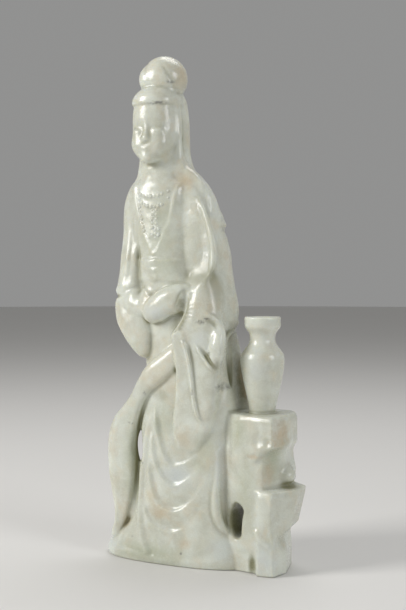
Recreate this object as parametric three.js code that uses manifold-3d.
// Standing Guanyin carved from one block of pale jade, with a stepped rock beside the figure and a
// small vase cut on top of the rock. Millimetres, +Z up, the figure faces -Y, and the origin is the
// middle of the underside. The rock stands on the +X side, at the figure's left hand.
//
// Everything is one stone, so every form below is joined into one solid.

import * as THREE from 'three';
import { mergeVertices } from 'three/addons/utils/BufferGeometryUtils.js';
import Module from 'manifold-3d';

// Driving sizes of the figure.
const figureHeight = 200; // ground to the top of the hair knot
const drawnHeight = 200; // height at which the places below were drawn
const s = figureHeight / drawnHeight;

// Driving sizes of the rock, measured from the seam where it grows out of the robe.
const rockHeight = 60;
const rockReach = 28.8; // seam to the farthest corner of the lower ledge
const rockFront = 13; // front face, forward of the middle plane
const rockBack = 12; // back face, behind the middle plane
const rockSeam = 21.6 * s; // where the robe and the rock meet

// Driving sizes of the vase.
const vaseHeight = 37;
const vaseFootRadius = 5.1;
const vaseBellyRadius = 8.6;
const vaseNeckRadius = 4.9;
const vaseRimRadius = 7;
const vaseBoreRadius = 3.3;
const vaseFloor = 9; // stone left under the bore
const vaseSink = 0.5; // how far the foot runs into the rock
const vaseAside = 12; // vase axis from the seam
const vaseBackset = 1; // vase axis forward of the middle plane

// Fineness of the faceted forms.
const robeSides = 34;
const robeRings = 21;
const frontDensity = 0.36; // share by which the robe's columns crowd to the front

const wasm = await Module();
wasm.setup();

// Values along a form: each row starts with its place, and the columns after it are blended
// smoothly without overshoot.
function blend(rows, place, column) {
  const last = rows.length - 1;
  if (place <= rows[0][0]) return rows[0][column];
  if (place >= rows[last][0]) return rows[last][column];
  let i = 0;
  while (place > rows[i + 1][0]) i += 1;
  const slope = (k) => (rows[k + 1][column] - rows[k][column]) / (rows[k + 1][0] - rows[k][0]);
  const tangent = (k) => {
    if (k === 0) return slope(0);
    if (k === last) return slope(last - 1);
    const before = slope(k - 1);
    const after = slope(k);
    return before * after <= 0 ? 0 : (2 * before * after) / (before + after);
  };
  const span = rows[i + 1][0] - rows[i][0];
  const t = (place - rows[i][0]) / span;
  const t2 = t * t;
  const t3 = t2 * t;
  return (2 * t3 - 3 * t2 + 1) * rows[i][column] + (t3 - 2 * t2 + t) * span * tangent(i)
    + (3 * t2 - 2 * t3) * rows[i + 1][column] + (t3 - t2) * span * tangent(i + 1);
}

const { clamp } = THREE.MathUtils;

// A soft step from 0 at the first place to 1 at the second, either way round.
function smooth(from, to, x) {
  const t = clamp((x - from) / (to - from), 0, 1);
  return t * t * (3 - 2 * t);
}

// A geometry as a solid: shared corners merged, flat slivers dropped.
function solid(geometry) {
  const bare = geometry.clone();
  bare.deleteAttribute('normal');
  bare.deleteAttribute('uv');
  const merged = mergeVertices(bare, 1e-4);
  const index = merged.index.array;
  const triangles = [];
  for (let i = 0; i < index.length; i += 3) {
    const [a, b, c] = [index[i], index[i + 1], index[i + 2]];
    if (a !== b && b !== c && c !== a) triangles.push(a, b, c);
  }
  return new wasm.Manifold(new wasm.Mesh({
    numProp: 3,
    vertProperties: new Float32Array(merged.attributes.position.array),
    triVerts: new Uint32Array(triangles),
  }));
}

const joined = (solids) => solids.reduce((whole, one) => whole.add(one));

// Moves every vertex of a closed unit cylinder: place(angle, t, r) gives the point at that angle
// round the wall, that share of the length and that share of the radius.
function shaped(sides, rings, place) {
  const geometry = new THREE.CylinderGeometry(1, 1, 1, sides, rings);
  const position = geometry.getAttribute('position');
  for (let i = 0; i < position.count; i += 1) {
    const [x, y, z] = [position.getX(i), position.getY(i), position.getZ(i)];
    const point = place(Math.atan2(-z, x), y + 0.5, Math.hypot(x, z));
    position.setXYZ(i, point.x, point.y, point.z);
  }
  return solid(geometry);
}

// A limb of cloth or flesh: an oval section that follows a curve. Each row is x, y, z, half its
// width across the front view and half its depth.
function limb(rows, sides, rings, ends = 0.16, relief = () => 0) {
  const curve = new THREE.CatmullRomCurve3(rows.map(([x, y, z]) => new THREE.Vector3(x, y, z)));
  const sizes = rows.map((row, i) => [i / (rows.length - 1), row[3], row[4]]);
  const forward = new THREE.Vector3(0, -1, 0);
  return shaped(sides, rings, (angle, t, r) => {
    const tangent = curve.getTangent(t);
    const front = forward.clone().addScaledVector(tangent, -forward.dot(tangent)).normalize();
    const side = front.clone().cross(tangent);
    const fromEnd = Math.min(t, 1 - t) / ends;
    const round = fromEnd >= 1 ? 1 : Math.sqrt(Math.max(0.12, 1 - (1 - fromEnd) ** 2));
    const swell = 1 + relief(angle, t);
    return curve.getPoint(t)
      .addScaledVector(side, blend(sizes, t, 1) * Math.cos(angle) * r * round * swell)
      .addScaledVector(front, blend(sizes, t, 2) * Math.sin(angle) * r * round * swell)
      .multiplyScalar(s);
  });
}

// Squares a limb's section off: the higher the number, the boxier it is.
const boxy = (square) => (angle) => {
  const [across, along] = [Math.abs(Math.cos(angle)), Math.abs(Math.sin(angle))];
  return (across ** square + along ** square) ** (-1 / square) - 1;
};

// An egg-shaped form, turned about the front-to-back axis by lean.
function egg([x, y, z], [rx, ry, rz], lean = 0, across = 24, down = 16) {
  const geometry = new THREE.SphereGeometry(1, across, down);
  geometry.rotateX(Math.PI / 2);
  geometry.scale(rx * s, ry * s, rz * s);
  geometry.rotateY(lean);
  geometry.translate(x * s, y * s, z * s);
  return solid(geometry);
}

// The robe, from the ground to the neck: height, left, right, front, back and squareness.
const robeSections = [
  [0, -34, 31, -16, 15, 2.7],
  [2, -34.4, 31.4, -16.2, 15.2, 2.7],
  [5, -33.2, 30.8, -16, 15, 2.6],
  [9, -29.5, 28.4, -15.4, 14.4, 2.6],
  [14, -23.4, 25.2, -14.8, 13.6, 2.8],
  [20, -19.4, 24, -14.6, 13, 3],
  [30, -17.9, 23.4, -14.4, 12.6, 3.2],
  [45, -17.3, 23.8, -14.2, 12.4, 3.2],
  [60, -16.8, 23.8, -13.6, 12.4, 3],
  [75, -15.8, 22.2, -12.9, 12.4, 2.7],
  [90, -16.6, 19.4, -12.8, 12.2, 2.2],
  [104, -17.4, 13, -13, 12, 2.2],
  [118, -17.6, 9.8, -13.2, 11.4, 2.3],
  [130, -20, 8.4, -12.6, 11, 2.3],
  [140, -22.6, 7, -12, 10.6, 2.3],
  [147, -22.4, 5, -11.6, 10.2, 2.2],
  [152, -18.8, 0.4, -10.6, 9.2, 2.2],
  [156, -19, -0.4, -9.4, 8, 2.1],
  [162, -18.2, -1.4, -9.6, 7.4, 2],
];

// How far forward the robe's front stands at a place in the front view.
function robeFront(x, z) {
  const [left, right, front, , square] = [1, 2, 3, 4, 5].map((c) => blend(robeSections, z, c));
  const share = Math.min(Math.abs(2 * x - left - right) / (right - left), 0.98);
  return front * (1 - share ** square) ** (1 / square);
}

// A raised fold or border laid along the robe's front: each row is x, z, half width and how far it
// stands out of the cloth.
function ridge(rows, sides, rings) {
  return limb(rows.map(([x, z, w, d]) => [x, robeFront(x, z), z, w, d]), sides, rings, 0.12);
}

// Hanging folds of the skirt. Each swag has its lowest place, then for the figure's right and left
// half how far it reaches, how far it rises and how sharply it turns up, then its half width and how
// far it stands out.
const swags = [
  [1.8, 39.6, 9.2, 22, 1.6, 17.4, 20, 2.4, 1.6, 0.7],
  [0.6, 30.8, 8.8, 19, 1.9, 18, 18, 1.8, 1.8, 0.8],
  [1.2, 21.4, 10.6, 24, 2.9, 16.4, 18, 2.1, 1.8, 0.8],
  [1.2, 13, 13.2, 13, 2.3, 16, 15, 2, 1.7, 0.75],
  [2.4, 5.4, 12.8, 6.4, 2.2, 14, 9, 1.9, 1.5, 0.55],
];

function swag([x, z, toRight, rightRise, rightTurn, toLeft, leftRise, leftTurn, w, d]) {
  const rows = [];
  for (let i = -5; i <= 5; i += 1) {
    const share = Math.sin((Math.PI * Math.abs(i)) / 10);
    const [reach, rise, turn] = i < 0 ? [-toRight, rightRise, rightTurn] : [toLeft, leftRise, leftTurn];
    const fade = 1 - 0.6 * share ** 4;
    rows.push([x + reach * share, z + rise * share ** turn, w * fade, d * fade]);
  }
  return ridge(rows, 6, 12);
}

// Folds that run down the skirt beside the swags.
function sideFolds() {
  return [
    ridge([[-11.2, 52, 1.2, 0.6], [-13.2, 34, 1.5, 0.8], [-14, 22, 1.5, 0.9], [-12.6, 12, 1.4, 0.8],
      [-9.4, 5, 1, 0.5]], 8, 8),
    ridge([[20, 52, 1, 0.3], [19.6, 36, 1.8, 0.7], [19.2, 27, 2, 0.9], [19.9, 20.6, 2, 0.9],
      [21.8, 16, 1.6, 0.7], [25, 12, 1, 0.3]], 8, 8),
  ];
}

// The raised borders of the open neckline, crossing above the sash.
function lapels() {
  return [
    ridge([[-17, 151, 1.1, 0.9], [-16, 138, 1.2, 0.9], [-13.4, 128.6, 1.2, 0.9],
      [-8.4, 121, 1.1, 0.9]], 6, 8),
    ridge([[1.2, 152, 1.1, 0.9], [-0.2, 141, 1.2, 0.9], [-3, 131.4, 1.2, 0.9],
      [-7.8, 120.6, 1.1, 0.9]], 6, 8),
  ];
}

// The sash round the waist, standing a little out of the robe.
const sash = { low: 110.8, high: 119.2, stand: 0.8 };

function waist() {
  const rows = [0, 0.08, 0.5, 0.92, 1].map((t) => {
    const z = sash.low + (sash.high - sash.low) * t;
    const out = t === 0 || t === 1 ? 0 : sash.stand;
    const [left, right, front, back, square] = [1, 2, 3, 4, 5].map((c) => blend(robeSections, z, c));
    return [z, left - out, right + out, front - out, back + out, square];
  });
  return sectioned(rows, 24, 6);
}

function backRelief(angle, z) {
  const fold = Math.cos(7 * angle + 0.02 * z) * 0.7 + Math.cos(3 * angle - 0.6) * 0.3;
  return fold * smooth(0.15, 0.7, Math.sin(angle)) * smooth(128, 96, z) * smooth(0, 10, z);
}

function robe() {
  const top = robeSections[robeSections.length - 1][0];
  return shaped(robeSides, robeRings, (turn, t, r) => {
    const angle = turn - frontDensity * Math.cos(turn);
    const z = top * t;
    const [left, right, front, back, square] = [1, 2, 3, 4, 5].map((c) => blend(robeSections, z, c));
    const [c, d] = [Math.cos(angle), Math.sin(angle)];
    const middle = (left + right) / 2;
    const x = middle + ((right - left) / 2) * Math.sign(c) * Math.abs(c) ** (2 / square);
    const y = (d < 0 ? -front : back) * Math.sign(d) * Math.abs(d) ** (2 / square);
    const relief = backRelief(angle, z);
    const outward = new THREE.Vector2(c / (right - left), d / (back - front)).normalize();
    return new THREE.Vector3(
      (middle + (x - middle + relief * outward.x) * r) * s,
      (y + relief * outward.y) * r * s,
      z * s,
    );
  });
}

// The cloth that falls from the head over the shoulders and the back, with its short cape edge.
function veil() {
  const sections = [
    [112, -20, 15, 0, 13, 2.4],
    [130.4, -21, 13.2, -1.4, 12.6, 2.4],
    [131.4, -22.2, 14.4, -2, 13.6, 2.4],
    [136, -23, 13.4, -2.6, 13.4, 2.4],
    [141, -24, 10.8, -3.2, 13, 2.3],
    [146, -24, 8.8, -4, 12.4, 2.2],
    [151, -23, 5.2, -5, 11.6, 2.1],
    [156, -20.6, 1.8, -6, 10.6, 2],
    [163, -19.8, 0, -4.4, 9.8, 2],
    [173, -20.8, -0.2, -4.6, 9.6, 2],
    [181, -20.8, -0.8, -5.4, 8.8, 2],
    [186, -19.2, -2.6, -5.4, 7, 2],
    [189, -15, -5, -4, 5, 2],
  ];
  return sectioned(sections, 20, 14);
}

// A form cut to level sections, as the robe is, without folds.
function sectioned(sections, sides, rings) {
  const [bottom, top] = [sections[0][0], sections[sections.length - 1][0]];
  return shaped(sides, rings, (angle, t, r) => {
    const z = bottom + (top - bottom) * t;
    const [left, right, front, back, square] = [1, 2, 3, 4, 5].map((c) => blend(sections, z, c));
    const [c, d] = [Math.cos(angle), Math.sin(angle)];
    const x = ((right - left) / 2) * Math.sign(c) * Math.abs(c) ** (2 / square);
    const y = ((back - front) / 2) * Math.sign(d) * Math.abs(d) ** (2 / square);
    return new THREE.Vector3(
      ((left + right) / 2 + x * r) * s,
      ((front + back) / 2 + y * r) * s,
      z * s,
    );
  });
}

function head() {
  const skull = sectioned([
    [157.2, -12.6, -9.4, -12.2, -8, 2],
    [158.1, -14.2, -7.8, -13.2, -4, 2],
    [159.8, -16, -6, -13.5, -1, 2],
    [162.2, -17.8, -4, -13.4, 3, 2.1],
    [165.6, -19.6, -2.1, -13.1, 6, 2.2],
    [170, -20.5, -1.2, -13.3, 6, 2.2],
    [176, -20.5, -1.2, -13.5, 6, 2.2],
    [179.6, -20.5, -1.2, -13.4, 6, 2.2],
    [180.6, -21.4, -0.2, -14.3, 6.8, 2.2],
    [182.2, -21.2, -0.4, -14, 6.8, 2.2],
    [185, -19, -2, -12, 6.4, 2.1],
    [188, -15, -5, -8, 4, 2],
  ], 18, 12);
  const nose = limb([[-11, -13, 173.5, 1, 1], [-11, -14.2, 168, 1.5, 1.2],
    [-11, -13.4, 165.6, 1.4, 0.8]], 8, 4, 0.3);
  return [skull, nose];
}

function hairKnot() {
  return [
    egg([-8.7, -1.6, 190.8], [9.3, 9, 9.2], 0, 18, 12),
    egg([-12.6, -3.4, 190.2], [5.4, 7, 6.4], 0.3, 12, 8),
  ];
}

// The arm at the figure's right: sleeve, elbow folds and the hanging cuff.
function rightSleeve() {
  return [
    limb([[-14.6, 1.6, 153, 6, 6.6], [-19.2, 0.2, 142, 7.4, 7.8], [-20, -0.6, 128, 7, 8],
      [-20.6, -1.8, 114, 7.4, 8], [-20.4, -4.6, 105, 7.4, 7], [-16.4, -7.8, 101.6, 5.4, 5.2],
      [-10.6, -10.6, 100.6, 4.2, 4.2], [-6, -11.6, 99, 3.4, 3.4]], 14, 14, 0.1),
    egg([-25.1, -5, 106.8], [3.8, 4.4, 2.6], 0.5, 12, 7),
    limb([[-20.8, -4.8, 104.4, 6.2, 5.4], [-20.6, -5.6, 101.2, 7.9, 5.6], [-18.6, -7, 96.4, 8.5, 5.4],
      [-16, -8.6, 90, 6.8, 4.4], [-13.8, -9.2, 84.4, 4.4, 3.6], [-12, -9.2, 80.2, 1.9, 2.2]], 14, 10, 0.1),
  ];
}

// The arm at the figure's left: upper sleeve, the wide mass at the elbow and the long hanging end.
function leftSleeve() {
  return [
    limb([[-3.4, 0.4, 153.6, 5.4, 6.4], [5.4, -0.4, 143.4, 6.2, 8], [10.6, -1.6, 131, 5.4, 8.4],
      [11.8, -2, 120, 6.2, 8.6], [11.2, -3.8, 110, 5.6, 8.4], [9.4, -8.6, 101, 6.6, 6.6]],
    14, 12, 0.1, boxy(2.8)),
    limb([[8.2, 3, 134, 4.6, 7], [10.8, 2.4, 122, 6.2, 8], [12.7, 1, 108, 7.4, 8.6],
      [14.4, 0, 98, 7.8, 8.6], [13.4, -2.4, 89.6, 6, 7]], 12, 8, 0.12),
    limb([[11.8, -6, 112, 5.4, 6.4], [12.2, -7.6, 104, 7.2, 7], [12.4, -8.6, 94, 8.2, 7],
      [12.4, -9.2, 84, 8.2, 6.2], [12.1, -10, 78, 8.4, 5.6], [11.2, -11, 68, 8.8, 4.8],
      [10, -11.4, 58, 8.2, 4.3], [8.6, -11.6, 50, 6.8, 3.8], [7.4, -11.8, 43.6, 4.4, 2.8]],
    14, 13, 0.08, boxy(2.8)),
    limb([[4.4, -13.4, 93, 2.8, 3], [5.4, -13.8, 85, 3.6, 2.8], [7.2, -13.8, 76, 4, 2.5],
      [7.5, -13.8, 66, 4.6, 2.3], [7.8, -13.5, 56, 6.2, 2.3], [7, -12.8, 46, 4.6, 2.4]],
    10, 12, 0.08, boxy(3.2)),
  ];
}

// The left forearm and hand laid over the right wrist, and the fingertips that show beneath.
function hands() {
  return [
    limb([[10, -8.6, 104.8, 5.2, 4.6], [3.4, -12.4, 104, 5.8, 4.6], [-3, -13.8, 101.6, 5.4, 4.3],
      [-7.6, -13.6, 97.6, 4.7, 3.9], [-9.4, -12.8, 94, 2.4, 2.6]], 16, 10, 0.14),
    limb([[-9.4, -12.4, 105.4, 1.4, 1.6], [-6.8, -13.7, 103.6, 1.6, 1.6],
      [-4.4, -14.4, 101.8, 1, 1]], 8, 5, 0.3),
  ];
}

// The long scarf: it crosses from the left sleeve, falls beside the robe and ends on the hem.
function scarf() {
  return [
    limb([[7.6, -10.2, 86, 4.2, 3.8], [2.6, -10.8, 82, 4.6, 4], [-2.4, -11.2, 78, 4.9, 3.8],
      [-7.6, -11.2, 73.8, 5, 3.6],
      [-12.2, -11, 69, 3.9, 3.5], [-15.4, -10.6, 64, 3.3, 3.5], [-18.8, -9.8, 58.6, 4.4, 3.5],
      [-21.8, -9, 53.6, 6, 3.5], [-23.4, -8.6, 49, 6.5, 3.5], [-24, -8.6, 44.4, 6.4, 3.5],
      [-23.4, -8.6, 39.4, 6.9, 3.5], [-23.6, -8.6, 33.4, 6.5, 3.5], [-23.4, -8.8, 26, 5, 3.4],
      [-23.5, -9, 20.4, 3.8, 3.3], [-24.3, -9.2, 14.6, 2.7, 3], [-26.2, -9.2, 9.8, 2.1, 2.6],
      [-28.4, -9, 6.6, 1.5, 2]], 10, 20, 0.05),
    limb([[1.8, -12.2, 84.4, 2.6, 2.6], [-4, -12.4, 79.8, 3, 2.5], [-8.4, -12.4, 76, 2.9, 2.3],
      [-11.6, -12, 72.4, 2, 1.8]], 10, 8, 0.12),
  ];
}

// The stone left between the scarf and the robe above and below the gap that shows between them.
function webs() {
  return [
    limb([[-16.6, -5.4, 36.4, 2, 2.6], [-18.4, -5.6, 26, 3.4, 4], [-20, -6.4, 14, 4.4, 5]], 8, 5, 0.2),
    limb([[-15.4, -6.4, 53, 2, 2.6], [-12.4, -7.4, 61, 4, 3.6], [-8, -9, 70, 4, 3.6]], 8, 5, 0.2),
  ];
}

// The folds of the robe that show behind the left sleeve, down to the rock.
function rearFold() {
  return [
    limb([[12, 3.6, 96, 6, 7], [14.2, 4.6, 84, 6.6, 7.2], [16.4, 5.2, 70, 7.2, 7.2],
      [18.2, 5.2, 54, 7.6, 7], [18.8, 4, 34, 6.6, 6.6]], 16, 12, 0.12),
  ];
}

// The rock, cut to level outlines. Each level is its height as a share of the rock's, and then the
// plan points along the front, round the corner and down the far side: x from the seam as a share of
// the reach, and y in millimetres. The front steps back under the upper block.
function rock() {
  const levels = [
    [0, 0.19, -10.8, 0.34, -11.4, 0.5, -12.7, 0.535, -14.9, 0.76, -14.1, 0.837, -5.9, 0.72, 8],
    [0.12, 0.19, -10.8, 0.34, -11.4, 0.5, -12.7, 0.535, -14.9, 0.76, -14.1, 0.837, -5.9, 0.72, 8],
    [0.16, 0.19, -11, 0.34, -12, 0.5, -13, 0.55, -14.4, 0.764, -14, 0.82, -5.9, 0.72, 8],
    [0.226, 0.19, -11, 0.34, -12.2, 0.5, -13.2, 0.57, -13.8, 0.745, -13.4, 0.74, -5, 0.68, 8],
    [0.29, 0.19, -11, 0.34, -12.4, 0.5, -13.2, 0.56, -13.8, 0.72, -13.8, 0.87, -4, 0.82, 8],
    [0.38, 0.19, -11, 0.34, -12.4, 0.5, -13.1, 0.56, -13.8, 0.72, -14.2, 0.9, -3, 0.865, 8],
    [0.49, 0.19, -11, 0.34, -12.4, 0.5, -13.1, 0.55, -14, 0.73, -14.4, 0.94, -3, 0.92, 8],
    [0.524, 0.19, -11, 0.34, -12.4, 0.48, -12.9, 0.55, -13.3, 0.72, -13.6, 0.92, -3, 0.93, 8],
    [0.54, 0.19, -10.8, 0.34, -12.4, 0.42, -12.5, 0.5, -12.6, 0.575, -12.2, 0.75, -2, 0.75, 8],
    [0.63, 0.19, -10.8, 0.34, -12.4, 0.42, -12.5, 0.5, -12.6, 0.58, -12.2, 0.79, -1, 0.785, 8],
    [0.7, 0.15, -11, 0.33, -12.4, 0.42, -12.5, 0.5, -12.6, 0.58, -12.2, 0.76, -1, 0.75, 8],
    [0.745, 0.13, -10.8, 0.3, -12.2, 0.42, -12.8, 0.53, -13.3, 0.59, -12.4, 0.76, -1, 0.74, 8],
    [0.78, 0.1, -10.4, 0.28, -12.2, 0.4, -12.8, 0.56, -13.9, 0.66, -13.2, 0.78, -1.6, 0.76, 8],
    [0.81, 0.08, -9.8, 0.26, -12, 0.38, -12.8, 0.56, -13.9, 0.745, -14.2, 0.83, -3, 0.8, 8],
    [0.97, 0.06, -9, 0.24, -11.8, 0.38, -12.7, 0.56, -13.7, 0.745, -14.2, 0.83, -3, 0.8, 8],
    [1, 0.06, -8.4, 0.24, -11, 0.38, -12.2, 0.56, -13, 0.72, -13.2, 0.8, -3, 0.77, 7.4],
  ];
  const inside = -8 * s; // buried in the robe
  const scale = [rockReach, rockFront / 13, rockBack / 12];
  const across = (share) => rockSeam + share * scale[0];
  const deep = (y) => y * (y < 0 ? scale[1] : scale[2]);
  const ring = (level) => {
    const points = [[rockSeam + inside, deep(-8)]];
    for (let i = 1; i < level.length; i += 2) points.push([across(level[i]), deep(level[i + 1])]);
    points.push([across(0.66), deep(11.6)], [across(0.2), deep(12)], [rockSeam + inside, deep(11)]);
    return points;
  };
  const rings = levels.map(ring);
  const count = rings[0].length;
  const mass = shaped(count, levels.length - 1, (angle, t, r) => {
    const level = Math.round(t * (levels.length - 1));
    const turned = (angle + Math.PI / 2) / (2 * Math.PI);
    const corner = (Math.round(turned * count) + count) % count;
    const points = rings[level];
    const middle = [0, 1].map((k) => points.reduce((sum, p) => sum + p[k], 0) / count);
    return new THREE.Vector3(
      middle[0] + (points[corner][0] - middle[0]) * r,
      middle[1] + (points[corner][1] - middle[1]) * r,
      levels[level][0] * rockHeight,
    );
  });
  return mass.subtract(piercing());
}

// The tall hole between the robe and the rock, pierced from front to back.
function piercing() {
  const half = 2.4;
  const [low, high] = [0.225 * rockHeight, 0.43 * rockHeight];
  const outline = new THREE.Shape();
  outline.absellipse(rockSeam + 0.2 * rockReach, (low + high) / 2, half, (high - low) / 2, 0, 2 * Math.PI);
  const depth = 3 * (rockFront + rockBack);
  const geometry = new THREE.ExtrudeGeometry(outline, { depth, bevelEnabled: false, curveSegments: 10 });
  geometry.rotateX(Math.PI / 2);
  geometry.translate(0, depth / 2, 0);
  return solid(geometry);
}

// The vase, turned about its axis, with a drilled mouth.
function vase() {
  const belly = vaseBellyRadius;
  const outer = [[vaseFootRadius, -vaseSink / vaseHeight], [vaseFootRadius, 0.035],
    [(vaseFootRadius + belly) / 2 - 0.2, 0.24], [0.91 * belly, 0.39], [belly, 0.54],
    [0.95 * belly, 0.61], [0.79 * belly, 0.665], [0.62 * belly, 0.72], [vaseNeckRadius, 0.79],
    [(vaseNeckRadius + vaseRimRadius) / 2 - 0.3, 0.84], [vaseRimRadius, 0.91], [vaseRimRadius, 1]];
  const flare = (vaseBoreRadius + vaseRimRadius) / 2;
  const inner = [[flare, 1], [vaseBoreRadius, 0.9], [vaseBoreRadius, vaseFloor / vaseHeight]];
  const profile = [[0, -vaseSink / vaseHeight], ...outer, ...inner, [0, vaseFloor / vaseHeight]];
  const points = profile.map(([r, h]) => new THREE.Vector2(r, h * vaseHeight));
  const geometry = new THREE.LatheGeometry(points, 20);
  geometry.rotateX(Math.PI / 2);
  geometry.translate(rockSeam + vaseAside, -vaseBackset, rockHeight);
  return solid(geometry);
}

// Everything below the ground is cut away, so the piece stands flat.
function ground() {
  const span = 4 * figureHeight;
  const geometry = new THREE.BoxGeometry(span, span, span);
  geometry.translate(0, 0, -span / 2);
  return solid(geometry);
}

const forms = [robe(), veil(), ...head(), ...hairKnot(), ...rightSleeve(), ...leftSleeve(),
  ...hands(), ...scarf(), ...webs(), ...rearFold(), ...swags.map(swag), ...sideFolds(), ...lapels(),
  waist()];
const carving = joined(forms).subtract(piercing()).add(rock()).add(vase()).subtract(ground());

const cut = carving.getMesh();
const geometry = new THREE.BufferGeometry();
geometry.setAttribute('position', new THREE.BufferAttribute(new Float32Array(cut.vertProperties), 3));
geometry.setIndex(new THREE.BufferAttribute(new Uint32Array(cut.triVerts), 1));
geometry.computeBoundingBox();
const middle = geometry.boundingBox.getCenter(new THREE.Vector3());
geometry.translate(-middle.x, -middle.y, -geometry.boundingBox.min.z);
geometry.computeVertexNormals();

const jade = new THREE.MeshStandardMaterial({ color: 0xd6d6c6, roughness: 0.25, metalness: 0 });
const figure = new THREE.Mesh(geometry, jade);
figure.name = 'guanyin_figure';

const group = new THREE.Group();
group.add(figure);
export default group;
